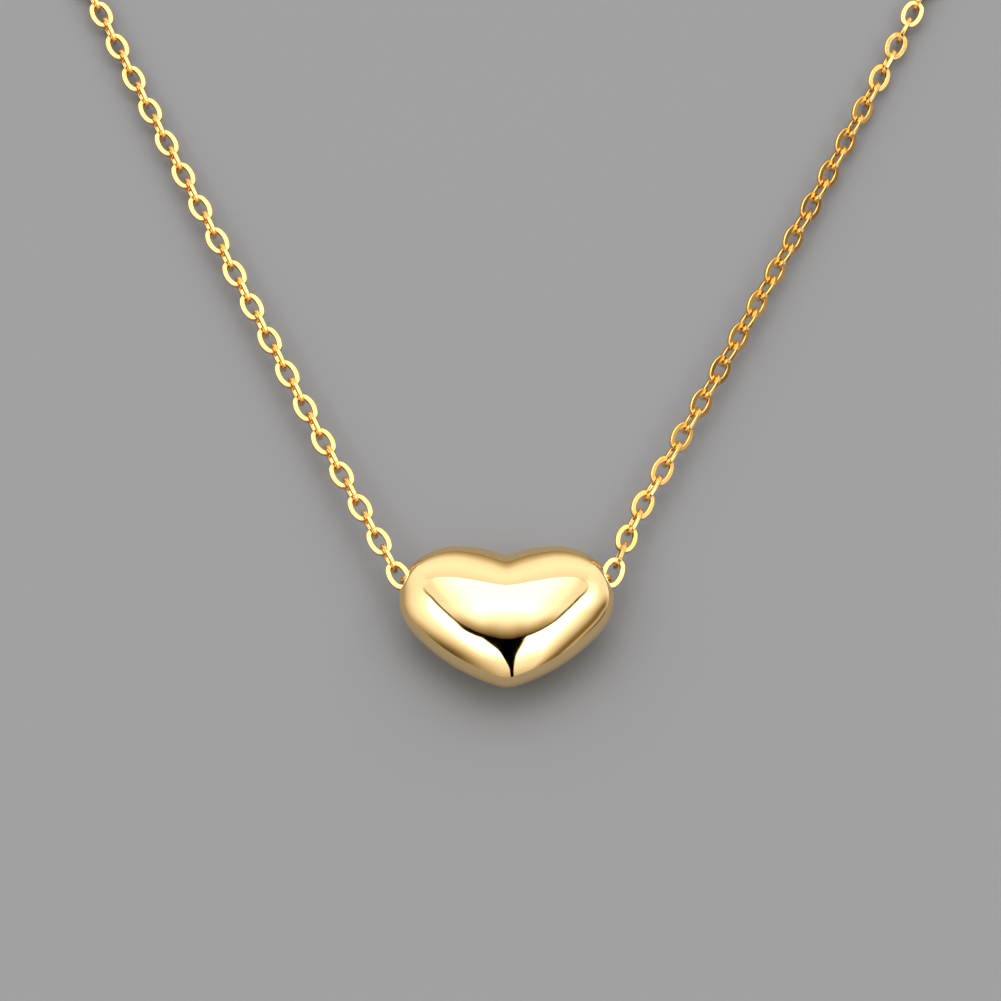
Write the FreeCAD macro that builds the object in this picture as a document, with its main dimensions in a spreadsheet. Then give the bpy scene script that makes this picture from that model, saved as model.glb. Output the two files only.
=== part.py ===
import FreeCAD, Part
import math
import os

import Sketcher
from FreeCAD import Matrix, Placement, Rotation, Vector

# A pendant necklace: a hollow puffed heart that slides and turns on a flat cable chain,
# with a spring ring clasp at one end of the chain and a short extender at the other.
# The heart lies on its back on the plane z = 0. Its tip points to -Y and its face to +Z.
# All lengths are in millimetres and all angles in degrees.

SIZES = (
    # The heart
    ("heart_lobe_radius", 3.7, "radius of each round lobe, seen from the front"),
    ("heart_lobe_spacing", 6.6, "distance between the two lobe centres"),
    ("heart_lobe_height", 1.3, "height of the lobe centres above the heart's centre"),
    ("heart_top_radius", 7.5, "radius of the slopes from the lobes' tops down to the notch"),
    ("heart_notch_radius", 0.5, "radius of the bottom of the notch between the lobes"),
    ("heart_side_radius", 12.0, "radius of the two long sides"),
    ("heart_tip_radius", 1.7, "radius of the rounded tip"),
    ("heart_tip_depth", 5.15, "distance of the tip below the heart's centre"),
    ("heart_softness", 0.28, "reach of the rounding between the outline's arcs"),
    ("heart_thickness", 5.5, "thickness from face to back"),
    ("heart_crown_width", 9.0, "width of the oval that the crown tends to"),
    ("heart_crown_height", 7.4, "height of the oval that the crown tends to"),
    ("heart_wall", 0.3, "thickness of the stamped sheet"),
    ("tube_offset", 2.5, "height of the chain tube above the heart's centre"),
    ("tube_inner_radius", 1.1, "radius of the hole that the chain runs through"),
    ("tube_outer_radius", 1.25, "outer radius of the chain tube"),
    ("tube_rise", 2.3, "height of the chain tube above the rest plane"),
    # The chain
    ("link_inner_length", 1.5, "length of the opening of a chain link"),
    ("link_inner_width", 0.78, "width of the opening of a chain link"),
    ("link_end_radius", 0.3, "radius of the rounded ends of a chain link's opening"),
    ("link_band", 0.36, "width of the flat band of a chain link"),
    ("link_thickness", 0.28, "thickness of a chain link"),
    ("link_rounding", 0.07, "rounding of the edges of a chain link"),
    ("link_gap", 0.04, "play between two linked rings"),
    # The end rings
    ("end_ring_radius", 0.9, "radius of the middle line of a jump ring"),
    ("end_ring_wire", 0.2, "radius of the wire of a jump ring"),
    # The extender
    ("extender_inner_length", 2.3, "length of the opening of an extender link"),
    ("extender_inner_width", 1.5, "width of the opening of an extender link"),
    ("extender_end_radius", 0.6, "radius of the rounded ends of an extender link's opening"),
    ("extender_band", 0.45, "width of the flat band of an extender link"),
    ("extender_thickness", 0.45, "thickness of an extender link"),
    ("extender_rounding", 0.16, "rounding of the edges of an extender link"),
    ("drop_ball_radius", 1.6, "radius of the round end of the drop"),
    ("drop_neck_radius", 0.3, "radius of the drop where it meets its eye"),
    ("drop_length", 4.2, "distance from the eye's middle to the middle of the drop's round end"),
    ("drop_eye_radius", 0.75, "radius of the middle line of the drop's eye"),
    ("drop_eye_wire", 0.2, "radius of the wire of the drop's eye"),
    # The spring ring clasp
    ("clasp_radius", 2.2, "radius of the middle line of the clasp's tube"),
    ("clasp_tube_radius", 0.62, "outer radius of the clasp's tube"),
    ("clasp_bore_radius", 0.45, "inner radius of the clasp's tube"),
    ("clasp_bolt_radius", 0.42, "radius of the sliding bolt"),
    ("clasp_knob_radius", 0.18, "radius of the bolt's thumb knob"),
    ("clasp_slot_half_height", 0.21, "half the height of the knob's slot"),
    ("clasp_eye_radius", 0.68, "radius of the middle line of the clasp's eye"),
    ("clasp_eye_wire", 0.2, "radius of the wire of the clasp's eye"),
    ("spring_coil_radius", 0.34, "radius of the middle line of the spring's coils"),
    ("spring_wire", 0.07, "radius of the spring's wire"),
)

OUTLINE_SAMPLES = 720
OUTLINE_POINTS = 60
BACK_LEVEL = 83.0
FRONT_LEVEL = 87.0
SECTION_LEVELS = (-76, -66, -54, -41, -28, -14, 0, 14, 28, 41, 54, 66, 76)
CROWN_POWER = 3.0

STRAIGHT_LINKS = 7
BENT_LINKS = 2
ARM_SEGMENTS = (5, 5, 7, 7, 9, 9, 11, 11, 11, 11, 11, 11, 11, 11)
EXTENDER_SEGMENTS = (5, 5, 5)
LOOK_AHEAD = 1.0

# Each route starts on the tube's axis, and is a list of (length, turn, height at its end).
RIGHT_START = 5.1
LEFT_START = 5.35
RIGHT_ROUTE = (
    (2.7, 72.0, 2.15),
    (2.4, 0.0, 1.8),
    (3.2, -9.0, 1.6),
    (42.0, 2.5, 0.78),
    (53.0, 0.5, 0.78),
    (90.0, 99.6, 1.12),
    (1.5, 1.7, 1.12),
    (3.0, 3.0, 0.8),
)
LEFT_ROUTE = (
    (2.4, 64.0, 2.15),
    (14.0, 1.0, 1.4),
    (35.0, 1.0, 0.78),
    (53.0, 1.0, 0.78),
    (90.0, 100.6, 1.12),
    (2.0, 2.0, 1.24),
    (14.0, 100.0, 1.26),
    (8.0, -5.0, 1.26),
    (16.0, 3.0, 1.63),
)
# The chain's twist about its own line, as (distance along the arm, angle).
RIGHT_TWIST = ((0.0, 5.0), (6.0, 28.0), (25.0, 45.0), (40.0, 38.0), (57.0, 0.0))
LEFT_TWIST = ((0.0, 0.0), (18.0, -4.0), (45.0, -3.0), (57.0, 0.0))

CLASP_GAP = (-20.0, 35.0)
CLASP_SOCKET_END = -31.0
CLASP_BORE_END = 160.0
CLASP_SLOT = (54.0, 108.0)
BOLT_ARC = (-28.0, 74.0)
KNOB_ANGLE = 61.0
SPRING_ARC = (76.5, 158.0)
SPRING_TURNS = 12
SPRING_POINTS_A_TURN = 10


# ------------------------------------------------------------------ small geometry helpers


def unit(v):
    """The vector v at length one."""
    return v * (1.0 / v.Length)


def turned(v, axis, degrees):
    """The vector v turned about an axis."""
    return Rotation(axis, degrees).multVec(v)


def without(v, axis):
    """The part of v that is square to a unit vector."""
    return v - axis * v.dot(axis)


def stepped(table, distance):
    """A value read from (distance, value) pairs with a smooth change between them."""
    if distance <= table[0][0]:
        return table[0][1]
    for (d0, v0), (d1, v1) in zip(table, table[1:]):
        if distance <= d1:
            share = (distance - d0) / (d1 - d0)
            return v0 + (v1 - v0) * share * share * (3 - 2 * share)
    return table[-1][1]


# ------------------------------------------------------------------ the heart's outline


def heart_arcs(size):
    """The right half of the outline, as arcs (x, y, radius, first angle, last angle)."""
    lobe = size["heart_lobe_radius"]
    lobe_x = size["heart_lobe_spacing"] / 2
    lobe_y = size["heart_lobe_height"]
    notch = size["heart_notch_radius"]
    side = size["heart_side_radius"]
    tip = size["heart_tip_radius"]
    tip_y = tip - size["heart_tip_depth"]
    top = size["heart_top_radius"]
    top_y = lobe_y + lobe - top
    notch_y = top_y + math.sqrt((top + notch) ** 2 - lobe_x**2)
    # The side arc holds the lobe and the tip inside it, and touches both.
    apart = math.hypot(lobe_x, lobe_y - tip_y)
    to_lobe = side - lobe
    to_tip = side - tip
    along = (to_tip**2 - to_lobe**2 + apart**2) / (2 * apart)
    across = math.sqrt(to_tip**2 - along**2)
    ux = lobe_x / apart
    uy = (lobe_y - tip_y) / apart
    side_x = ux * along - uy * across
    side_y = tip_y + uy * along + ux * across
    notch_angle = math.atan2(top_y - notch_y, lobe_x)
    lobe_end = math.atan2(lobe_y - side_y, lobe_x - side_x)
    side_end = math.atan2(tip_y - side_y, -side_x)
    return (
        (0.0, notch_y, notch, -math.pi / 2, notch_angle),
        (lobe_x, top_y, top, notch_angle + math.pi, math.pi / 2),
        (lobe_x, lobe_y, lobe, math.pi / 2, lobe_end),
        (side_x, side_y, side, lobe_end, side_end),
        (0.0, tip_y, tip, side_end, -math.pi / 2),
    )


def along_arcs(arcs, count):
    """Points evenly spaced along arcs that follow one another."""
    lengths = [abs(last - first) * radius for _, _, radius, first, last in arcs]
    points = []
    for n in range(count):
        distance = sum(lengths) * n / (count - 1)
        for (x, y, radius, first, last), length in zip(arcs, lengths):
            if distance <= length + 1e-9:
                angle = first + (last - first) * distance / length
                points.append((x + radius * math.cos(angle), y + radius * math.sin(angle)))
                break
            distance -= length
    return points


def softened(points, reach):
    """A closed outline with each point moved to the weighted mean of those around it."""
    total = len(points)
    step = math.dist(points[0], points[1])
    span = int(3 * reach / step)
    weights = [math.exp(-((k * step / reach) ** 2) / 2) for k in range(-span, span + 1)]
    scale = 1 / sum(weights)
    result = []
    for n in range(total):
        near = [points[(n + k) % total] for k in range(-span, span + 1)]
        x = scale * sum(w * p[0] for w, p in zip(weights, near))
        y = scale * sum(w * p[1] for w, p in zip(weights, near))
        result.append((x, y))
    return result


def heart_outline(size):
    """The closed outline of the heart, from the notch clockwise, in even steps."""
    half = along_arcs(heart_arcs(size), OUTLINE_SAMPLES // 2 + 1)
    mirrored = [(-x, y) for x, y in reversed(half[1:-1])]
    return softened(half + mirrored, size["heart_softness"])


def moved_inward(outline, distance):
    """The outline moved inward by a distance."""
    total = len(outline)
    result = []
    for n in range(total):
        x0, y0 = outline[n - 1]
        x1, y1 = outline[(n + 1) % total]
        length = math.hypot(x1 - x0, y1 - y0)
        x, y = outline[n]
        result.append((x + distance * (y1 - y0) / length, y - distance * (x1 - x0) / length))
    return result


def crown_point(x, y, width, height):
    """The point of the crown's oval in the same direction as an outline point."""
    reach = 1 / math.hypot(2 * x / width, 2 * y / height)
    return x * reach, y * reach


def heart_section(size, outline, half_thickness, level):
    """Points around the puffed body where its skin stands at an angle from the rim."""
    angle = math.radians(level)
    share = abs(math.sin(angle)) ** CROWN_POWER
    points = []
    for x, y in outline[:: OUTLINE_SAMPLES // OUTLINE_POINTS]:
        crown_x, crown_y = crown_point(x, y, size["heart_crown_width"], size["heart_crown_height"])
        points.append(
            Vector(
                math.cos(angle) * (x + share * (crown_x - x)),
                math.cos(angle) * (y + share * (crown_y - y)),
                half_thickness * math.sin(angle),
            )
        )
    return points


def puffed_heart(size, outline, half_thickness, rim_height):
    """A solid heart with a domed face and back, and a small flat at the middle of each."""
    wires = []
    for level in (-BACK_LEVEL, *SECTION_LEVELS, FRONT_LEVEL):
        points = heart_section(size, outline, half_thickness, level)
        curve = Part.BSplineCurve()
        curve.interpolate(Points=points, PeriodicFlag=True)
        wires.append(Part.Wire(curve.toShape()))
    solid = Part.makeLoft(wires, True, False)
    solid.translate(Vector(0, 0, rim_height))
    return solid


def rim_height(size):
    """The height of the seam between the two shells above the rest plane."""
    return size["heart_thickness"] / 2 * math.sin(math.radians(BACK_LEVEL))


# ------------------------------------------------------------------ the chain's layout


class Ring:
    """A ring-shaped piece in place: its middle, its long direction and its face's normal."""

    def __init__(self, kind, middle, along, normal):
        self.kind = kind
        self.middle = middle
        self.along = along
        self.normal = normal

    def pivot(self, way):
        """The centre of the round end on the side that way points to."""
        return self.middle + self.along * (way * self.kind["reach"])

    def placement(self):
        """The placement of a ring drawn along X with its face's normal along Z."""
        side = self.normal.cross(self.along)
        m = Matrix(
            self.along.x, side.x, self.normal.x, self.middle.x,
            self.along.y, side.y, self.normal.y, self.middle.y,
            self.along.z, side.z, self.normal.z, self.middle.z,
            0, 0, 0, 1,
        )  # fmt: skip
        return Placement(m)


def ring_kinds(size):
    """Each kind of ring: how far its round ends' centres are from its middle, and their radius."""

    def oval(name):
        end = size[name + "_end_radius"]
        return {"name": name, "reach": size[name + "_inner_length"] / 2 - end, "inner": end}

    end_inner = size["end_ring_radius"] - size["end_ring_wire"]
    return {
        "link": oval("link"),
        "extender": oval("extender"),
        "end_ring": {"name": "end_ring", "reach": 0.0, "inner": end_inner},
        "clasp_eye": {
            "name": "clasp_eye",
            "reach": 0.0,
            "inner": size["clasp_eye_radius"] - size["clasp_eye_wire"],
        },
        "drop_eye": {
            "name": "drop_eye",
            "reach": 0.0,
            "inner": size["drop_eye_radius"] - size["drop_eye_wire"],
        },
    }


def route_points(start, side, pieces, step=0.05):
    """Points along a route on one side of the heart, each with its distance."""
    x, y, z = start
    heading = 0.0
    points = [(0.0, Vector(x, y, z))]
    distance = 0.0
    for length, turn, end_height in pieces:
        count = int(round(length / step))
        first_height = z
        for n in range(count):
            heading += turn / count
            x += side * length / count * math.cos(math.radians(heading))
            y += length / count * math.sin(math.radians(heading))
            share = (n + 1) / count
            z = first_height + (end_height - first_height) * share * share * (3 - 2 * share)
            distance += length / count
            points.append((distance, Vector(x, y, z)))
    return points


def point_ahead(route, place, away, first):
    """The first route point, from index first on, that is at least this far away."""
    for n in range(first, len(route)):
        if (route[n][1] - place).Length >= away:
            return n
    return len(route) - 1


def next_ring(before, kind, gap, route, index, normal_angle):
    """The ring linked into the one before, steered along a route.

    The new ring first turns in the plane of the one before, about the centre of that one's round
    end, and then in its own plane about the centre of its own round end. Both turns keep the gap
    between the two rings as it is.
    """
    pivot = before.pivot(1)
    apart = before.kind["inner"] + kind["inner"] - gap
    target = point_ahead(route, pivot, apart + LOOK_AHEAD, index)
    first = unit(without(route[target][1] - pivot, before.normal))
    own_pivot = pivot + first * apart
    upright = without(Vector(0, 0, 1), first)
    normal = turned(unit(upright), first, normal_angle)
    target = point_ahead(route, own_pivot, kind["reach"] + LOOK_AHEAD, target)
    along = unit(without(route[target][1] - own_pivot, normal))
    ring = Ring(kind, own_pivot + along * kind["reach"], along, normal)
    return ring, target


def lay_chain(size, side, route, twist, plan, before):
    """Rings laid one after another along a route. plan holds a kind for each ring."""
    rings = []
    index = 0
    flat = False
    for kind in plan:
        distance = route[index][0]
        angle = side * stepped(twist, distance) + (0 if flat else 90)
        ring, index = next_ring(before, kind, size["link_gap"], route, index, angle)
        rings.append(ring)
        before = ring
        flat = not flat
    return rings


def centre_links(size, kinds):
    """The straight links inside the heart's tube, from left to right."""
    kind = kinds["link"]
    pitch = 2 * (kind["reach"] + kind["inner"]) - size["link_gap"]
    rings = []
    for n in range(STRAIGHT_LINKS):
        offset = n - (STRAIGHT_LINKS - 1) / 2
        middle = Vector(offset * pitch, size["tube_offset"], size["tube_rise"])
        normal = Vector(0, 0, 1) if n % 2 == 0 else Vector(0, 1, 0)
        rings.append(Ring(kind, middle, Vector(1, 0, 0), normal))
    return rings


def arm_plan(kinds, last_kinds):
    """The kinds of rings along one arm, in order."""
    return [kinds["link"]] * (BENT_LINKS + sum(ARM_SEGMENTS)) + [kinds["end_ring"]] + last_kinds


def segments(rings, prefix, counts):
    """Rings split into named segments."""
    named = {}
    first = 0
    for n, count in enumerate(counts):
        named[f"{prefix}_{n + 1:02d}"] = rings[first : first + count]
        first += count
    return named


def necklace_layout(size):
    """Every ring of the necklace by node name, in the order in which they are linked."""
    kinds = ring_kinds(size)
    centre = centre_links(size, kinds)
    start = (RIGHT_START, size["tube_offset"], size["tube_rise"])
    right_route = route_points(start, 1, RIGHT_ROUTE)
    start = (-LEFT_START, size["tube_offset"], size["tube_rise"])
    left_route = route_points(start, -1, LEFT_ROUTE)
    first_left = Ring(centre[0].kind, centre[0].middle, Vector(-1, 0, 0), centre[0].normal)
    extender = [kinds["extender"]] * sum(EXTENDER_SEGMENTS)
    right_plan = arm_plan(kinds, [kinds["clasp_eye"]])
    left_plan = arm_plan(kinds, extender + [kinds["drop_eye"]])
    right = lay_chain(size, 1, right_route, RIGHT_TWIST, right_plan, centre[-1])
    left = lay_chain(size, -1, left_route, LEFT_TWIST, left_plan, first_left)
    centre = left[BENT_LINKS - 1 :: -1] + centre + right[:BENT_LINKS]
    right = right[BENT_LINKS:]
    left = left[BENT_LINKS:]
    links = sum(ARM_SEGMENTS)
    return {
        "centre_chain": centre,
        **segments(right[:links], "right_chain", ARM_SEGMENTS),
        "right_end_ring": right[links : links + 1],
        "clasp": right[links + 1 :],
        **segments(left[:links], "left_chain", ARM_SEGMENTS),
        "left_end_ring": left[links : links + 1],
        **segments(left[links + 1 : -1], "extender", EXTENDER_SEGMENTS),
        "drop": left[-1:],
    }


# ------------------------------------------------------------------ building with FreeCAD


def make_sheet(document):
    """The spreadsheet that holds every size under a plain name."""
    sheet = document.addObject("Spreadsheet::Sheet", "Sizes")
    for row, (name, value, meaning) in enumerate(SIZES, 1):
        sheet.set(f"A{row}", name)
        sheet.set(f"B{row}", f"={value} mm")
        sheet.set(f"C{row}", meaning)
        sheet.setAlias(f"B{row}", name)
    document.recompute()
    return sheet


def sizes_from(sheet):
    """The sheet's values in millimetres by name."""
    return {name: float(sheet.get(name).Value) for name, _, _ in SIZES}


def origin_plane(body, role):
    """One of a body's own base planes."""
    return next(f for f in body.Origin.OriginFeatures if f.Role == role)


def bind(thing, **expressions):
    """Ties properties to sizes in the sheet."""
    for name, expression in expressions.items():
        thing.setExpression(name, expression)


def oval_outline(sketch, name, band):
    """Draws a closed oval of four arcs that run into one another, tied to the sheet."""
    reach = 0.5
    drop = 1.2
    end_radius = 0.3
    side_radius = end_radius + math.hypot(reach, drop)
    corner = math.atan2(drop, reach)
    up = Vector(0, 0, 1)
    half_turn = math.pi
    first = sketch.GeometryCount
    top, right, bottom, left = range(first, first + 4)

    def arc(x, y, radius, start, end):
        return Part.ArcOfCircle(Part.Circle(Vector(x, y, 0), up, radius), start, end)

    sketch.addGeometry(
        [
            arc(0, -drop, side_radius, corner, half_turn - corner),
            arc(reach, 0, end_radius, -corner, corner),
            arc(0, drop, side_radius, half_turn + corner, 2 * half_turn - corner),
            arc(-reach, 0, end_radius, half_turn - corner, half_turn + corner),
        ]
    )
    rule = Sketcher.Constraint
    sketch.addConstraint(
        [
            rule("Tangent", right, 2, top, 1),
            rule("Tangent", top, 2, left, 1),
            rule("Tangent", left, 2, bottom, 1),
            rule("Tangent", bottom, 2, right, 1),
            rule("Symmetric", left, 3, right, 3, -1, 1),
            rule("PointOnObject", right, 3, -1),
            rule("PointOnObject", top, 3, -2),
            rule("Equal", top, bottom),
        ]
    )
    spacing = sketch.addConstraint(rule("DistanceX", left, 3, right, 3, 2 * reach))
    end = sketch.addConstraint(rule("Radius", right, end_radius))
    side = sketch.addConstraint(rule("Radius", top, side_radius))
    half_spacing = f"(Sizes.{name}_inner_length / 2 - Sizes.{name}_end_radius)"
    rise = f"(Sizes.{name}_inner_width / 2 - Sizes.{name}_end_radius)"
    opening = f"Sizes.{name}_end_radius"
    wide = f"({half_spacing} ^ 2 + {rise} ^ 2) / (2 * {rise}) + {opening}"
    sketch.setExpression(f"Constraints[{spacing}]", f"2 * {half_spacing}")
    sketch.setExpression(f"Constraints[{end}]", f"{opening} + {band}" if band else opening)
    sketch.setExpression(f"Constraints[{side}]", f"{wide} + {band}" if band else wide)


def flat_edges(shape, height):
    """The names of the edges that lie wholly at this height above or below the middle."""
    names = []
    for n, edge in enumerate(shape.Edges, 1):
        box = edge.BoundBox
        if abs(abs(box.ZMin) - height) < 1e-4 and box.ZLength < 1e-4:
            names.append(f"Edge{n}")
    return names


def make_oval_link(document, name):
    """One flat oval link with rounded edges, drawn along X."""
    body = document.addObject("PartDesign::Body", f"{name}_pattern")
    sketch = body.newObject("Sketcher::SketchObject", f"{name}_outline")
    sketch.AttachmentSupport = [(origin_plane(body, "XY_Plane"), "")]
    sketch.MapMode = "FlatFace"
    oval_outline(sketch, name, f"Sizes.{name}_band")
    oval_outline(sketch, name, "")
    pad = body.newObject("PartDesign::Pad", f"{name}_pad")
    pad.Profile = sketch
    pad.SideType = "Symmetric"
    bind(pad, Length=f"Sizes.{name}_thickness")
    document.recompute()
    rounding = body.newObject("PartDesign::Fillet", f"{name}_rounded")
    rounding.Base = (pad, flat_edges(pad.Shape, pad.Length.Value / 2))
    bind(rounding, Radius=f"Sizes.{name}_rounding")
    document.recompute()
    return body


def primitive(document, kind, name, placement=None, **expressions):
    """A Part primitive tied to the sheet."""
    thing = document.addObject(kind, name)
    bind(thing, **expressions)
    if placement:
        thing.Placement = placement
    return thing


def boolean(document, kind, name, base, tool):
    """A Part cut, fuse or common of two objects."""
    thing = document.addObject(f"Part::{kind}", name)
    thing.Base = base
    thing.Tool = tool
    return thing


def about_z(degrees, x=0.0):
    """A placement turned about Z."""
    return Placement(Vector(x, 0, 0), Rotation(Vector(0, 0, 1), degrees))


def sector(document, name, radius, wire, first, last):
    """A piece of a torus between two angles."""
    thing = primitive(
        document, "Part::Torus", name, about_z(first), Radius1=radius, Radius2=wire
    )
    thing.Angle3 = last - first
    return thing


def computed(document, name, shape):
    """A feature that holds a shape made from the sheet's sizes."""
    thing = document.addObject("Part::Feature", name)
    thing.Shape = shape
    return thing


def make_heart(document, size):
    """The two shells and the tube between them."""
    outline = heart_outline(size)
    rim = rim_height(size)
    inner_outline = moved_inward(outline, size["heart_wall"])
    half = size["heart_thickness"] / 2
    outer = computed(document, "heart_outside", puffed_heart(size, outline, half, rim))
    inside_shape = puffed_heart(size, inner_outline, half - size["heart_wall"], rim)
    inside = computed(document, "heart_inside", inside_shape)
    wall = boolean(document, "Cut", "heart_wall_solid", outer, inside)
    across = Placement(
        Vector(-10, size["tube_offset"], size["tube_rise"]), Rotation(Vector(0, 1, 0), 90)
    )
    drill = primitive(
        document, "Part::Cylinder", "tube_outside", across, Radius="Sizes.tube_outer_radius"
    )
    drill.Height = 20
    drilled = boolean(document, "Cut", "heart_drilled", wall, drill)
    hole = primitive(
        document, "Part::Cylinder", "tube_inside", across, Radius="Sizes.tube_inner_radius"
    )
    hole.Height = 20
    nodes = {}
    for name, low in (("heart_front_shell", rim), ("heart_back_shell", rim - 10)):
        half_space = document.addObject("Part::Box", f"{name}_side")
        half_space.Length = 20
        half_space.Width = 20
        half_space.Height = 10
        half_space.Placement = Placement(Vector(-10, -10, low), Rotation())
        nodes[name] = boolean(document, "Common", name, drilled, half_space)
    pipe = boolean(document, "Cut", "tube_pipe", drill, hole)
    nodes["heart_chain_tube"] = boolean(document, "Common", "heart_chain_tube", pipe, outer)
    return nodes


def make_ring_nodes(document, layout, patterns):
    """A node for each named segment, holding a copy of its pattern for each ring."""
    nodes = {}
    for name, rings in layout.items():
        if rings[0].kind["name"] not in patterns:
            continue
        copies = []
        for ring in rings:
            copy = patterns[ring.kind["name"]].Shape.copy()
            copy.Placement = ring.placement()
            copies.append(copy)
        shape = copies[0] if len(copies) == 1 else Part.makeCompound(copies)
        nodes[name] = computed(document, name, shape)
    return nodes


def make_clasp(document, size, ring):
    """The spring ring clasp: its tube with an eye, its sliding bolt and its spring."""
    radius = "Sizes.clasp_radius"
    tube = sector(
        document, "clasp_tube", radius, "Sizes.clasp_tube_radius", CLASP_GAP[1], 360 + CLASP_GAP[0]
    )
    bore = sector(
        document, "clasp_bore", radius, "Sizes.clasp_bore_radius", CLASP_GAP[1] - 1, CLASP_BORE_END
    )
    socket = sector(
        document,
        "clasp_socket",
        radius,
        "Sizes.clasp_bore_radius",
        CLASP_SOCKET_END,
        CLASP_GAP[0] + 1,
    )
    slot_outer = primitive(
        document, "Part::Cylinder", "clasp_slot_outer", about_z(CLASP_SLOT[0]),
        Radius="Sizes.clasp_radius + 1 mm", Height="2 * Sizes.clasp_slot_half_height",
    )  # fmt: skip
    slot_inner = primitive(
        document, "Part::Cylinder", "clasp_slot_inner", about_z(CLASP_SLOT[0] - 1),
        Radius="Sizes.clasp_radius", Height="2 * Sizes.clasp_slot_half_height",
    )  # fmt: skip
    slot_outer.Angle = CLASP_SLOT[1] - CLASP_SLOT[0]
    slot_inner.Angle = CLASP_SLOT[1] - CLASP_SLOT[0] + 2
    slot = boolean(document, "Cut", "clasp_slot", slot_outer, slot_inner)
    slot.Placement = Placement(Vector(0, 0, -size["clasp_slot_half_height"]), Rotation())
    eye_x = clasp_offset(size)
    eye = primitive(
        document, "Part::Torus", "clasp_eye", about_z(0, -eye_x),
        Radius1="Sizes.clasp_eye_radius", Radius2="Sizes.clasp_eye_wire",
    )  # fmt: skip
    body = boolean(document, "Fuse", "clasp_with_eye", tube, eye)
    for n, tool in enumerate((bore, socket, slot), 1):
        body = boolean(document, "Cut", f"clasp_cut_{n}", body, tool)

    bolt_arc = sector(
        document, "bolt_arc", radius, "Sizes.clasp_bolt_radius", BOLT_ARC[0], BOLT_ARC[1]
    )
    direction = Vector(math.cos(math.radians(KNOB_ANGLE)), math.sin(math.radians(KNOB_ANGLE)), 0)
    outward = Rotation(Vector(0, 0, 1), direction)
    stem = primitive(
        document, "Part::Cylinder", "knob_stem", Placement(direction * size["clasp_radius"], outward),
        Radius="Sizes.clasp_knob_radius", Height="Sizes.clasp_tube_radius + 0.3 mm",
    )  # fmt: skip
    head_place = direction * (size["clasp_radius"] + size["clasp_tube_radius"] + 0.3)
    head = primitive(
        document, "Part::Sphere", "knob_head", Placement(head_place, Rotation()),
        Radius="Sizes.clasp_knob_radius + 0.08 mm",
    )  # fmt: skip
    knob = boolean(document, "Fuse", "knob", stem, head)
    bolt = boolean(document, "Fuse", "clasp_bolt_drawn", bolt_arc, knob)

    spring = computed(document, "clasp_spring_drawn", spring_shape(size))
    place = ring.placement() * Placement(Vector(eye_x, 0, 0), Rotation())
    nodes = {}
    for name, drawn in (("clasp_body", body), ("clasp_bolt", bolt), ("clasp_spring", spring)):
        document.recompute()
        nodes[name] = computed(document, name, drawn.Shape.copy())
        nodes[name].Placement = place
    return nodes


def clasp_offset(size):
    """The distance from the middle of the clasp's eye to the middle of its ring."""
    return size["clasp_radius"] + size["clasp_tube_radius"] + 0.55


def spring_shape(size):
    """A coil that follows the clasp's tube."""
    turns = SPRING_TURNS * SPRING_POINTS_A_TURN
    points = []
    for n in range(turns + 1):
        around = math.radians(SPRING_ARC[0] + (SPRING_ARC[1] - SPRING_ARC[0]) * n / turns)
        angle = 2 * math.pi * n / SPRING_POINTS_A_TURN
        reach = size["clasp_radius"] + size["spring_coil_radius"] * math.cos(angle)
        height = size["spring_coil_radius"] * math.sin(angle)
        points.append(Vector(reach * math.cos(around), reach * math.sin(around), height))
    curve = Part.BSplineCurve()
    curve.interpolate(Points=points)
    path = Part.Wire(curve.toShape())
    way = curve.tangent(curve.FirstParameter)[0]
    section = Part.Wire(Part.makeCircle(size["spring_wire"], points[0], way))
    return path.makePipeShell([section], True, True)


def make_drop(document, size, ring):
    """The drop that ends the extender: a round end, a taper and an eye, drawn along X."""
    along = Rotation(Vector(0, 1, 0), 90)
    length = size["drop_length"]
    ball_radius = size["drop_ball_radius"]
    neck = size["drop_neck_radius"]
    neck_x = size["drop_eye_radius"]
    # The taper meets the ball where the two surfaces run together.
    slope = math.asin((ball_radius - neck) / (length - neck_x))
    meet_x = length - ball_radius * math.sin(slope)
    ball = primitive(
        document, "Part::Sphere", "drop_ball", Placement(Vector(length, 0, 0), Rotation()),
        Radius="Sizes.drop_ball_radius",
    )  # fmt: skip
    taper = document.addObject("Part::Cone", "drop_taper")
    bind(taper, Radius1="Sizes.drop_neck_radius")
    taper.Radius2 = ball_radius * math.cos(slope)
    taper.Height = meet_x - neck_x
    taper.Placement = Placement(Vector(neck_x, 0, 0), along)
    eye = primitive(
        document, "Part::Torus", "drop_eye",
        Radius1="Sizes.drop_eye_radius", Radius2="Sizes.drop_eye_wire",
    )  # fmt: skip
    pear = boolean(document, "Fuse", "drop_pear", ball, taper)
    drop = boolean(document, "Fuse", "drop", pear, eye)
    drop.Placement = ring.placement()
    return {"extender_drop": drop}


def check(document):
    """Stops if any object failed or holds no valid shape."""
    for thing in document.Objects:
        bad = [word for word in thing.State if word in ("Invalid", "Error")]
        if bad:
            raise RuntimeError(f"{thing.Name} is {bad}")
        if hasattr(thing, "Shape") and not thing.isDerivedFrom("App::Plane"):
            if thing.TypeId.startswith(("Part::", "PartDesign::Body")) and (
                thing.Shape.isNull() or not thing.Shape.isValid()
            ):
                raise RuntimeError(f"{thing.Name} has no valid shape")


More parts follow.
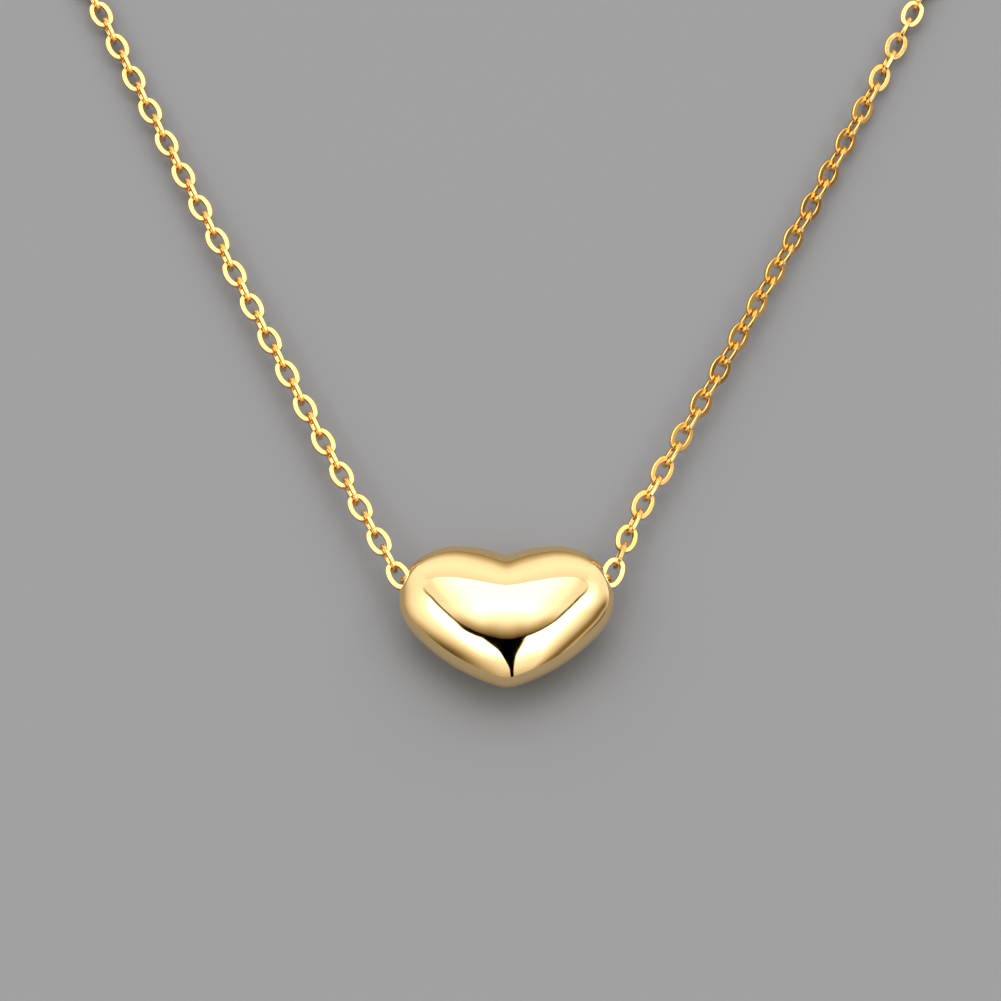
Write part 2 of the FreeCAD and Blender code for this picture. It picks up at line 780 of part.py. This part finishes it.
def main():
    document = FreeCAD.newDocument("necklace")
    sheet = make_sheet(document)
    size = sizes_from(sheet)
    layout = necklace_layout(size)
    patterns = {
        "link": make_oval_link(document, "link"),
        "extender": make_oval_link(document, "extender"),
        "end_ring": primitive(
            document, "Part::Torus", "end_ring_pattern",
            Radius1="Sizes.end_ring_radius", Radius2="Sizes.end_ring_wire",
        ),
    }  # fmt: skip
    document.recompute()
    nodes = make_heart(document, size)
    nodes.update(make_ring_nodes(document, layout, patterns))
    nodes.update(make_clasp(document, size, layout["clasp"][0]))
    nodes.update(make_drop(document, size, layout["drop"][0]))
    document.recompute()
    check(document)
    os.makedirs("parts", exist_ok=True)
    for name, thing in nodes.items():
        thing.Label = name
        thing.Shape.exportStep(f"parts/{name}.step")


main()
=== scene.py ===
import math

import bpy
import numpy as np
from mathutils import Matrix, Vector


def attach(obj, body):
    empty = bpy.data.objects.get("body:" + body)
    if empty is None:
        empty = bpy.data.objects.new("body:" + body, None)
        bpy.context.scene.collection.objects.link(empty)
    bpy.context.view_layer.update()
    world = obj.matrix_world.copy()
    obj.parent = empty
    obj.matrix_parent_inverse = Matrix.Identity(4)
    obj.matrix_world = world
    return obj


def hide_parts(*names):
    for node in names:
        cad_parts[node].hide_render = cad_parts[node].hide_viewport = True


# The looks of a puffed heart slider on a flat oval cable chain. Lengths are in millimetres
# wherever a value is named, and in metres (times MM) once they are in a mesh. The heart's two
# halves and its tube are made here. The chain and the clasp keep the CAD part's own meshes.

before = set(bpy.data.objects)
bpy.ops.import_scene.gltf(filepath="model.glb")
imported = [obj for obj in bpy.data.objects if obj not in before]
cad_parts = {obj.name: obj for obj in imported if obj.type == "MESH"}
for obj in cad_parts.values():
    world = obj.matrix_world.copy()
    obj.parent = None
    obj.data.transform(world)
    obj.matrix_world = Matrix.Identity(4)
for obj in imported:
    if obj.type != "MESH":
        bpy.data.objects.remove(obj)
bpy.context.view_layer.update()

MM = 0.001

# ---------------------------------------------------------------- the heart's sizes, as in the part

LOBE_RADIUS = 3.7
LOBE_SPACING = 6.6
LOBE_HEIGHT = 1.3
TOP_RADIUS = 7.5
NOTCH_RADIUS = 0.5
SIDE_RADIUS = 12.0
TIP_RADIUS = 1.7
TIP_DEPTH = 5.15
SOFTNESS = 0.28
THICKNESS = 5.5
CROWN_WIDTH = 9.0
CROWN_HEIGHT = 7.4
CROWN_POWER = 3.0
BACK_LEVEL = 83.0
WALL = 0.3
TUBE_Y = 2.5
TUBE_Z = 2.3
TUBE_INNER = 1.1
TUBE_OUTER = 1.25
RIM = THICKNESS / 2 * math.sin(math.radians(BACK_LEVEL))

# ---------------------------------------------------------------- how fine the meshes are

SKIN_COLS = 720
SKIN_STEPS = 64
INSIDE_COLS = 240
INSIDE_STEPS = 20
RIM_CROWDING = 1.35
SHARP_ANGLE = 30
TUBE_COLS = 128
LIP_STEPS = 8
DRILL_COLS = 192

# ---------------------------------------------------------------- the tube's mouths

DRILL_LENGTH = 20.0
LAP = 0.03
LIP_SHARE = 0.8
LIP_RISE = 0.6
SHOULDER_X = 4.5

# ---------------------------------------------------------------- the floor and the camera

FLOOR_HALF = 3000.0
FLOOR_DROP = 0.02
FLOOR_COLOUR = (0.235, 0.235, 0.24)
TARGET = (-0.39, 8.6, 2.75)
CAMERA_DISTANCE = 416.0
CAMERA_DOWN = 60
SENSOR = 36.0
LENS = 228.8

# ---------------------------------------------------------------- the light

LIGHT = 0.82
MAP_SIZE = 1024
PANEL_X = -0.5
PANEL_Y = 16.0
PANEL_HALF_WIDTH = 34.0
PANEL_HALF_DEPTH = 30.0
PANEL_CORNER = 18.0
PANEL_BACK = (46.6, 45.4)
GAP = (0.7, 2.6)
BACKDROP_START = (44.0, 46.0)
BACKDROP_EDGE = (38.5, 36.5)
# Each curve is a list of (angle, light).
PANEL_LIGHT = (
    (0, 0.05), (6, 0.1), (9, 0.35), (14, 1.0), (20, 1.9), (27, 3.6), (34, 4.0), (41, 3.4), (80, 3.2),
)
LEFT_LIGHT = (
    (0, 4.2), (40, 4.2), (45, 4.2), (48, 2.2), (52, 1.7), (60, 1.5), (70, 1.2), (80, 0.9), (92, 0.6),
)
FAR_LEFT_LIGHT = ((0, 1.5), (50, 1.5), (60, 1.2), (70, 0.85), (80, 0.42), (90, 0.2))
RIGHT_LIGHT = (
    (0, 4.2), (38, 4.2), (42, 4.2), (44, 2.0), (50, 1.3), (58, 0.8), (64, 0.35),
    (70, 0.2), (74, 0.3), (79, 0.85), (84, 0.5), (89, 0.03), (95, 0.0),
)
FAR_RIGHT_LIGHT = ((0, 1.5), (45, 1.5), (52, 1.4), (60, 1.3), (70, 1.4), (80, 1.45), (90, 1.3))
FRONT_LIGHT = ((0, 4.2), (34, 4.2), (42, 3.6), (47, 1.9), (54, 1.5), (70, 1.15), (85, 0.85), (100, 0.6))
BACKDROP_LIGHT = ((0, 1.1), (44, 1.1), (52, 1.45), (60, 1.6), (70, 1.4), (77, 0.9), (85, 0.45), (95, 0.3))
# The left edge of the dark wedge, as (angle to the front, angle plus WEDGE_SHIFT).
WEDGE_EDGE = ((0, 0), (9, 10), (20, 21), (30, 29), (40, 39), (50, 48), (60, 52), (75, 56), (92, 62))
WEDGE_SHIFT = 40
# The dimmer the light, the warmer it is, as (light, colour).
WARMTH = (
    (0.0, (1, 0.6, 0.3)),
    (0.25, (1, 0.76, 0.45)),
    (0.45, (1, 0.87, 0.62)),
    (0.7, (1, 0.93, 0.78)),
    (1.0, (1, 1, 1)),
)

# ---------------------------------------------------------------- meshes


def make_object(name, verts, faces):
    """A mesh object with smooth faces. verts are in millimetres."""
    mesh = bpy.data.meshes.new(name)
    mesh.from_pydata([tuple(v) for v in np.asarray(verts, float) * MM], [], faces)
    mesh.validate()
    made = bpy.data.objects.new(name, mesh)
    bpy.context.scene.collection.objects.link(made)
    mesh.polygons.foreach_set("use_smooth", [True] * len(mesh.polygons))
    return made


def grid_faces(rows, cols, first=0, turned=False):
    """Quads between rows of a grid that is closed along its columns."""
    faces = []
    for r in range(rows - 1):
        for c in range(cols):
            a = first + r * cols + c
            b = first + r * cols + (c + 1) % cols
            quad = (a, b, b + cols, a + cols)
            faces.append(quad[::-1] if turned else quad)
    return faces


def fan(centre, first, cols, turned=False):
    """Triangles from one point to a ring of points."""
    faces = [(first + c, first + (c + 1) % cols, centre) for c in range(cols)]
    return [f[::-1] for f in faces] if turned else faces


def cut(made, tool):
    """Cuts one mesh with another for good."""
    modifier = made.modifiers.new("cut", "BOOLEAN")
    modifier.object = tool
    modifier.operation = "DIFFERENCE"
    modifier.solver = "EXACT"
    graph = bpy.context.evaluated_depsgraph_get()
    mesh = bpy.data.meshes.new_from_object(made.evaluated_get(graph))
    made.modifiers.clear()
    made.data = mesh


# ---------------------------------------------------------------- the heart's surface


def outline_arcs():
    """The right half of the outline, as arcs (x, y, radius, first angle, last angle)."""
    lobe_x = LOBE_SPACING / 2
    tip_y = TIP_RADIUS - TIP_DEPTH
    top_y = LOBE_HEIGHT + LOBE_RADIUS - TOP_RADIUS
    notch_y = top_y + math.sqrt((TOP_RADIUS + NOTCH_RADIUS) ** 2 - lobe_x**2)
    apart = math.hypot(lobe_x, LOBE_HEIGHT - tip_y)
    to_lobe = SIDE_RADIUS - LOBE_RADIUS
    to_tip = SIDE_RADIUS - TIP_RADIUS
    along = (to_tip**2 - to_lobe**2 + apart**2) / (2 * apart)
    across = math.sqrt(to_tip**2 - along**2)
    ux = lobe_x / apart
    uy = (LOBE_HEIGHT - tip_y) / apart
    side_x = ux * along - uy * across
    side_y = tip_y + uy * along + ux * across
    notch_angle = math.atan2(top_y - notch_y, lobe_x)
    lobe_end = math.atan2(LOBE_HEIGHT - side_y, lobe_x - side_x)
    side_end = math.atan2(tip_y - side_y, -side_x)
    return (
        (0.0, notch_y, NOTCH_RADIUS, -math.pi / 2, notch_angle),
        (lobe_x, top_y, TOP_RADIUS, notch_angle + math.pi, math.pi / 2),
        (lobe_x, LOBE_HEIGHT, LOBE_RADIUS, math.pi / 2, lobe_end),
        (side_x, side_y, SIDE_RADIUS, lobe_end, side_end),
        (0.0, tip_y, TIP_RADIUS, side_end, -math.pi / 2),
    )


def heart_outline(samples):
    """The closed outline from the notch clockwise, in even steps, its arcs softened into one another."""
    arcs = outline_arcs()
    lengths = [abs(last - first) * radius for _, _, radius, first, last in arcs]
    half = []
    for n in range(samples // 2 + 1):
        distance = sum(lengths) * n / (samples // 2)
        for (x, y, radius, first, last), length in zip(arcs, lengths):
            if distance <= length + 1e-9:
                angle = first + (last - first) * distance / length
                half.append((x + radius * math.cos(angle), y + radius * math.sin(angle)))
                break
            distance -= length
    points = np.array(half + [(-x, y) for x, y in reversed(half[1:-1])])
    step = math.dist(half[0], half[1])
    span = int(4 * SOFTNESS / step)
    softened = np.zeros_like(points)
    total = 0.0
    for k in range(-span, span + 1):
        weight = math.exp(-((k * step / SOFTNESS) ** 2) / 2)
        softened += weight * np.roll(points, k, axis=0)
        total += weight
    return softened / total


def moved_inward(outline, distance):
    """The outline moved inward by a distance."""
    way = np.roll(outline, -1, axis=0) - np.roll(outline, 1, axis=0)
    way /= np.linalg.norm(way, axis=1, keepdims=True)
    return outline + distance * np.stack([way[:, 1], -way[:, 0]], axis=1)


def heart_rows(outline, half_thickness, levels):
    """Rows of points round the puffed body, one for each angle from the rim."""
    reach = np.hypot(2 * outline[:, 0] / CROWN_WIDTH, 2 * outline[:, 1] / CROWN_HEIGHT)
    crown = outline / reach[:, None]
    rows = []
    for level in levels:
        angle = math.radians(level)
        share = abs(math.sin(angle)) ** CROWN_POWER
        flat = math.cos(angle) * (outline + share * (crown - outline))
        height = np.full((len(flat), 1), half_thickness * math.sin(angle) + RIM)
        rows.append(np.hstack([flat, height]))
    return np.vstack(rows)


def rim_levels(last, steps):
    """Angles from the rim to a last one, close together at the rim."""
    return [last * (n / steps) ** RIM_CROWDING for n in range(steps + 1)]


def heart_shell(name, way):
    """One stamped half of the heart: its skin, its inside and the edge where the halves are soldered."""
    end = 90.0 if way > 0 else BACK_LEVEL
    ratio = SKIN_COLS // INSIDE_COLS
    skin_levels = [way * a for a in rim_levels(end, SKIN_STEPS)]
    inside_levels = [way * a for a in rim_levels(end, INSIDE_STEPS)]
    skin = heart_outline(SKIN_COLS)
    inside = moved_inward(skin, WALL)[::ratio]
    if way > 0:
        skin_levels = skin_levels[:-1]
        inside_levels = inside_levels[:-1]
    outer = heart_rows(skin, THICKNESS / 2, skin_levels)
    inner = heart_rows(inside, THICKNESS / 2 - WALL, inside_levels)
    outer_tip = heart_rows(skin, THICKNESS / 2, [way * end])[:1] * [0, 0, 1]
    inner_tip = heart_rows(inside, THICKNESS / 2 - WALL, [way * end])[:1] * [0, 0, 1]
    verts = np.vstack([outer, inner, outer_tip, inner_tip])
    first_inner = len(outer)
    faces = grid_faces(len(skin_levels), SKIN_COLS, 0, way > 0)
    faces += grid_faces(len(inside_levels), INSIDE_COLS, first_inner, way < 0)
    last_row = (len(skin_levels) - 1) * SKIN_COLS
    last_inner = first_inner + (len(inside_levels) - 1) * INSIDE_COLS
    centre = first_inner + len(inner)
    faces += fan(centre, last_row, SKIN_COLS, way > 0)
    faces += fan(centre + 1, last_inner, INSIDE_COLS, way < 0)
    for c in range(INSIDE_COLS):
        a = first_inner + c
        b = first_inner + (c + 1) % INSIDE_COLS
        ring = [(c * ratio + k) % SKIN_COLS for k in range(ratio + 1)]
        face = (*ring, b, a)
        faces.append(face if way > 0 else face[::-1])
    made = make_object(name, verts, faces)
    drill = tube_drill()
    cut(made, drill)
    bpy.data.objects.remove(drill)
    made.data.set_sharp_from_angle(angle=math.radians(SHARP_ANGLE))
    made.data.polygons.foreach_set("use_smooth", [True] * len(made.data.polygons))
    return made


def tube_drill():
    """A cylinder along X that cuts the holes for the tube. The tube's lip laps over their edges."""
    radius = TUBE_OUTER - LAP
    ring = [
        (TUBE_Y + radius * math.cos(a), TUBE_Z + radius * math.sin(a))
        for a in np.linspace(0, 2 * math.pi, DRILL_COLS, endpoint=False)
    ]
    verts = [(x, y, z) for x in (-DRILL_LENGTH / 2, DRILL_LENGTH / 2) for y, z in ring]
    faces = grid_faces(2, DRILL_COLS)
    faces += [tuple(range(DRILL_COLS))[::-1], tuple(range(DRILL_COLS, 2 * DRILL_COLS))]
    return make_object("drill", verts, faces)


def skin_reach(y, z):
    """How far the heart's skin stands from the middle plane at a height and a depth."""
    outline = heart_outline(SKIN_COLS)
    half = THICKNESS / 2
    level = math.degrees(math.asin((z - RIM) / half))
    points = heart_rows(outline, half, [level])
    right = points[: len(points) // 2]
    right = right[right[:, 0] > SHOULDER_X]
    order = np.argsort(right[:, 1])
    return float(np.interp(y, right[order, 1], right[order, 0]))


def lined_tube(name):
    """The tube that the chain runs through, with a rounded lip that covers the edge of each hole."""
    lip = (TUBE_OUTER - TUBE_INNER) / 2 * LIP_SHARE
    middle = (TUBE_OUTER + TUBE_INNER) / 2
    angles = np.linspace(0, 2 * math.pi, TUBE_COLS, endpoint=False)
    reach = [skin_reach(TUBE_Y + middle * math.cos(a), TUBE_Z + middle * math.sin(a)) for a in angles]
    verts = []
    for side in (-1, 1):
        for turn in np.linspace(0, math.pi, LIP_STEPS + 1):
            radius = middle - side * lip * math.cos(turn)
            out = lip * LIP_RISE * math.sin(turn)
            for a, x in zip(angles, reach):
                y = TUBE_Y + radius * math.cos(a)
                z = TUBE_Z + radius * math.sin(a)
                verts.append((side * (x - LAP + out), y, z))
    rows = 2 * (LIP_STEPS + 1)
    faces = grid_faces(rows, TUBE_COLS)
    last = (rows - 1) * TUBE_COLS
    for c in range(TUBE_COLS):
        after = (c + 1) % TUBE_COLS
        faces.append((last + c, last + after, after, c))
    return make_object(name, verts, faces)


# ---------------------------------------------------------------- node trees


class Sum:
    """A value in a node tree that plain arithmetic can be done with."""

    def __init__(self, tree, socket):
        self.tree = tree
        self.socket = socket

    def math(self, operation, *others, clamp=False):
        node = self.tree.nodes.new("ShaderNodeMath")
        node.operation = operation
        node.use_clamp = clamp
        for place, item in enumerate((self, *others)):
            if isinstance(item, Sum):
                self.tree.links.new(item.socket, node.inputs[place])
            else:
                node.inputs[place].default_value = item
        return Sum(self.tree, node.outputs[0])

    def __add__(self, other):
        return self.math("ADD", other)

    def __sub__(self, other):
        return self.math("SUBTRACT", other)

    def __mul__(self, other):
        return self.math("MULTIPLY", other)

    def __truediv__(self, other):
        return self.math("DIVIDE", other)

    def size(self):
        return self.math("ABSOLUTE")

    def exp(self):
        return self.math("EXPONENT")

    def step(self, start, end):
        """0 at start and 1 at end, with a smooth change between them."""
        node = self.tree.nodes.new("ShaderNodeMapRange")
        node.interpolation_type = "SMOOTHSTEP"
        self.tree.links.new(self.socket, node.inputs["Value"])
        node.inputs["From Min"].default_value = start
        node.inputs["From Max"].default_value = end
        return Sum(self.tree, node.outputs["Result"])

    def curve(self, points, top):
        """A value read from (place, value) pairs, with places up to top."""
        node = self.tree.nodes.new("ShaderNodeValToRGB")
        ramp = node.color_ramp
        ramp.interpolation = "B_SPLINE"
        highest = max(value for _, value in points)
        while len(ramp.elements) < len(points):
            ramp.elements.new(0.5)
        for element, (place, value) in zip(ramp.elements, points):
            element.position = place / top
            element.color = (value / highest, value / highest, value / highest, 1)
        self.tree.links.new((self / top).socket, node.inputs["Fac"])
        return Sum(self.tree, node.outputs["Color"]) * highest


def mixed(low, high, share):
    """low where share is 0 and high where it is 1."""
    return (high - low) * share + low


# ---------------------------------------------------------------- the studio


def light_studio():
    """The light from each direction: a soft overhead panel, a soft panel on each side and a backdrop.

    x and y are angles in degrees from straight up, towards +X and +Y.
    """
    world = bpy.data.worlds.new("studio")
    bpy.context.scene.world = world
    world.use_nodes = True
    tree = world.node_tree
    tree.nodes.clear()
    way = tree.nodes.new("ShaderNodeTexCoord").outputs["Generated"]
    split = tree.nodes.new("ShaderNodeSeparateXYZ")
    tree.links.new(way, split.inputs[0])
    dx, dy, dz = (Sum(tree, split.outputs[n]) for n in range(3))
    from_top = dz.math("ARCCOSINE") * math.degrees(1)
    flat = (dx * dx + dy * dy + 1e-8).math("SQRT")
    x = from_top * dx / flat
    y = from_top * dy / flat

    # The overhead panel is a rectangle with round corners, brighter towards the back and the middle.
    across = x / (y * 0.003 + 1)
    from_middle = (across - PANEL_X).size()
    qx = from_middle - (PANEL_HALF_WIDTH - PANEL_CORNER)
    qy = (y - PANEL_Y).size() - (PANEL_HALF_DEPTH - PANEL_CORNER)
    ox = qx.math("MAXIMUM", 0.0)
    oy = qy.math("MAXIMUM", 0.0)
    outside = (ox * ox + oy * oy).math("SQRT")
    edge = outside + qx.math("MAXIMUM", qy).math("MINIMUM", 0.0) - PANEL_CORNER
    edge = edge - (y - PANEL_Y).step(8, 24) * 3.0
    inside = edge.step(0.5, -0.5) * y.step(*PANEL_BACK)
    overhead = (y + 20).curve(PANEL_LIGHT, 80) * (from_middle.step(18, 32) * -0.62 + 1)

    # The side panels stand off from it by a thin dark gap. They are brightest next to it.
    left = from_top.curve(LEFT_LIGHT, 120)
    left = mixed(left, (x * -1).curve(FAR_LEFT_LIGHT, 120), y.step(20, 55))
    shift = y.step(0, -40) * 5 - y.step(0, 25) * 6
    right = (x + shift).curve(RIGHT_LIGHT, 120)
    right = mixed(right, x.curve(FAR_RIGHT_LIGHT, 120), y.step(15, 48))
    sides = mixed(left, right, x.step(-3, 8))
    sides = sides.math("MINIMUM", (y * -1 + 10).curve(FRONT_LIGHT, 110))

    # The left panel has a dim spot low at the front.
    dip = ((x + 70) * (x + 70) / 1200 + (y + 50) * (y + 50) / 650) * -1
    sides = sides * (dip.exp() * -0.8 + 1)
    wider = x.step(-12, -28) * y.step(0, -12) * 3
    faded = y.step(26, 42) * (x.step(30, 20) * 0.3 + 0.7)
    gap = (edge - wider).step(*GAP).math("MAXIMUM", faded)

    # A dark wedge opens between the side panels at the front, and leans to the right.
    wedge_left = (y * -1).curve(WEDGE_EDGE, 110) - WEDGE_SHIFT
    wedge_right = (y + 22) * (y + 22) * 0.0035 + 19
    wedge = (wedge_left - x).step(-1.2, 1.2).math("MAXIMUM", (x - wedge_right).step(-1.2, 1.2))
    front = y.step(-8, -13)
    sides = sides * gap * ((wedge - 1) * front + 1)

    # Behind the overhead panel, a backdrop that fades towards the floor.
    backdrop = y.curve(BACKDROP_LIGHT, 120)
    flare = (y - 50).math("MAXIMUM", 0.0) * 0.27
    behind = (x.size() - flare).step(*BACKDROP_EDGE) * y.step(*BACKDROP_START)
    around = mixed(sides, backdrop, behind)

    light = mixed(around, overhead, inside) * LIGHT
    warmth = tree.nodes.new("ShaderNodeValToRGB")
    while len(warmth.color_ramp.elements) < len(WARMTH):
        warmth.color_ramp.elements.new(0.5)
    for element, (place, colour) in zip(warmth.color_ramp.elements, WARMTH):
        element.position = place
        element.color = (*colour, 1)
    background = tree.nodes.new("ShaderNodeBackground")
    output = tree.nodes.new("ShaderNodeOutputWorld")
    tree.links.new(light.socket, warmth.inputs["Fac"])
    tree.links.new(warmth.outputs["Color"], background.inputs["Color"])
    tree.links.new(light.socket, background.inputs["Strength"])
    tree.links.new(background.outputs[0], output.inputs["Surface"])
    world.cycles.sampling_method = "MANUAL"
    world.cycles.sample_map_resolution = MAP_SIZE


def make_floor():
    """A plain pale floor."""
    corners = [(x * FLOOR_HALF, y * FLOOR_HALF, 0) for x, y in ((-1, -1), (1, -1), (1, 1), (-1, 1))]
    floor = make_object("floor", corners, [(0, 1, 2, 3)])
    material = bpy.data.materials.new("floor")
    material.use_nodes = True
    shader = material.node_tree.nodes["Principled BSDF"]
    shader.inputs["Base Color"].default_value = (*FLOOR_COLOUR, 1)
    shader.inputs["Roughness"].default_value = 0.9
    shader.inputs["Specular IOR Level"].default_value = 0.2
    floor.data.materials.append(material)
    floor.location.z = -FLOOR_DROP * MM


def make_camera():
    """The camera, which looks down at the heart from the side of its tip."""
    down = math.radians(CAMERA_DOWN)
    away = Vector((0, -math.cos(down), math.sin(down)))
    data = bpy.data.cameras.new("camera")
    data.sensor_width = SENSOR
    data.lens = LENS
    data.clip_start = 0.01
    data.clip_end = 20.0
    camera = bpy.data.objects.new("camera", data)
    camera.location = Vector(TARGET) * MM + away * (CAMERA_DISTANCE * MM)
    camera.rotation_mode = "QUATERNION"
    camera.rotation_quaternion = (-away).to_track_quat("-Z", "Y")
    bpy.context.scene.collection.objects.link(camera)
    bpy.context.scene.camera = camera


# ---------------------------------------------------------------- materials


def noise(tree, place, scale, detail=3.0, roughness=0.55):
    """Noise at a number of features a metre."""
    node = tree.nodes.new("ShaderNodeTexNoise")
    node.inputs["Scale"].default_value = scale
    node.inputs["Detail"].default_value = detail
    node.inputs["Roughness"].default_value = roughness
    tree.links.new(place, node.inputs["Vector"])
    return node.outputs["Fac"]


def stretched(tree, place, turn, scale):
    """Coordinates turned and stretched, for fine parallel scratches."""
    node = tree.nodes.new("ShaderNodeMapping")
    node.inputs["Rotation"].default_value = [math.radians(a) for a in turn]
    node.inputs["Scale"].default_value = scale
    tree.links.new(place, node.inputs["Vector"])
    return node.outputs["Vector"]


def polished_metal(name, colour, other_colour, roughness, spread, scratch, grain):
    """Polished metal with a slight change of alloy, uneven polish and hairline scratches.

    scratch and grain are the depths of the scratches and of the grain, in metres.
    """
    material = bpy.data.materials.new(name)
    material.use_nodes = True
    tree = material.node_tree
    shader = tree.nodes["Principled BSDF"]
    shader.inputs["Metallic"].default_value = 1.0
    place = tree.nodes.new("ShaderNodeTexCoord").outputs["Object"]

    cloud = noise(tree, place, 160.0, 2.0)
    colours = tree.nodes.new("ShaderNodeMix")
    colours.data_type = "RGBA"
    colours.inputs[6].default_value = (*colour, 1)
    colours.inputs[7].default_value = (*other_colour, 1)
    tree.links.new(Sum(tree, cloud).step(0.3, 0.7).socket, colours.inputs[0])
    tree.links.new(colours.outputs[2], shader.inputs["Base Color"])

    fine = Sum(tree, noise(tree, place, 2600.0, 4.0))
    lines_a = Sum(tree, noise(tree, stretched(tree, place, (12, 20, 35), (900, 42000, 42000)), 1.0, 2.0))
    lines_b = Sum(tree, noise(tree, stretched(tree, place, (-30, 5, -50), (800, 36000, 36000)), 1.0, 2.0))
    scratches = lines_a.step(0.66, 0.8) + lines_b.step(0.68, 0.82)
    polish = fine.step(0.35, 0.75) * spread + scratches * (spread * 0.8) + roughness
    tree.links.new(polish.socket, shader.inputs["Roughness"])

    bump = tree.nodes.new("ShaderNodeBump")
    bump.inputs["Strength"].default_value = 1.0
    bump.inputs["Distance"].default_value = 1.0
    height = scratches * (-scratch) + fine * grain
    tree.links.new(height.socket, bump.inputs["Height"])
    tree.links.new(bump.outputs[0], shader.inputs["Normal"])
    return material


def give(made, material, body, slot, *nodes):
    """Gives a piece its material and, if one is named, its body, and hides the CAD nodes that it stands
    in for.
    """
    made.data.materials.clear()
    made.data.materials.append(material)
    if nodes:
        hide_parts(*nodes)
    if body:
        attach(made, body)


# ---------------------------------------------------------------- the whole scene

heart_gold = polished_metal(
    "heart_gold",
    colour=(0.97, 0.69, 0.33),
    other_colour=(0.98, 0.71, 0.35),
    roughness=0.04,
    spread=0.02,
    scratch=4e-9,
    grain=1e-9,
)
chain_gold = polished_metal(
    "chain_gold",
    colour=(0.87, 0.53, 0.17),
    other_colour=(0.91, 0.57, 0.20),
    roughness=0.12,
    spread=0.08,
    scratch=2e-8,
    grain=4e-6,
)
steel = polished_metal(
    "spring_steel",
    colour=(0.62, 0.61, 0.60),
    other_colour=(0.70, 0.69, 0.68),
    roughness=0.22,
    spread=0.10,
    scratch=2e-8,
    grain=2e-8,
)

front = heart_shell("heart_front", 1)
give(front, heart_gold, "heart", "gold_polished", "heart_front_shell")
back = heart_shell("heart_back", -1)
give(back, heart_gold, "heart", "gold_polished", "heart_back_shell")
tube = lined_tube("heart_tube")
give(tube, heart_gold, "heart", "gold_polished", "heart_chain_tube")

for name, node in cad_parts.items():
    if name.startswith("heart_"):
        continue
    if name == "clasp_spring":
        give(node, steel, None, "steel_spring")
    elif name in ("clasp_body", "clasp_bolt", "extender_drop") or name.endswith("end_ring"):
        give(node, heart_gold, None, "gold_polished")
    else:
        give(node, chain_gold, None, "gold_chain")

make_floor()
light_studio()
make_camera()

scene = bpy.context.scene
scene.view_settings.view_transform = "Standard"
scene.view_settings.look = "None"
scene.view_settings.exposure = 0.0
scene.view_settings.gamma = 1.0
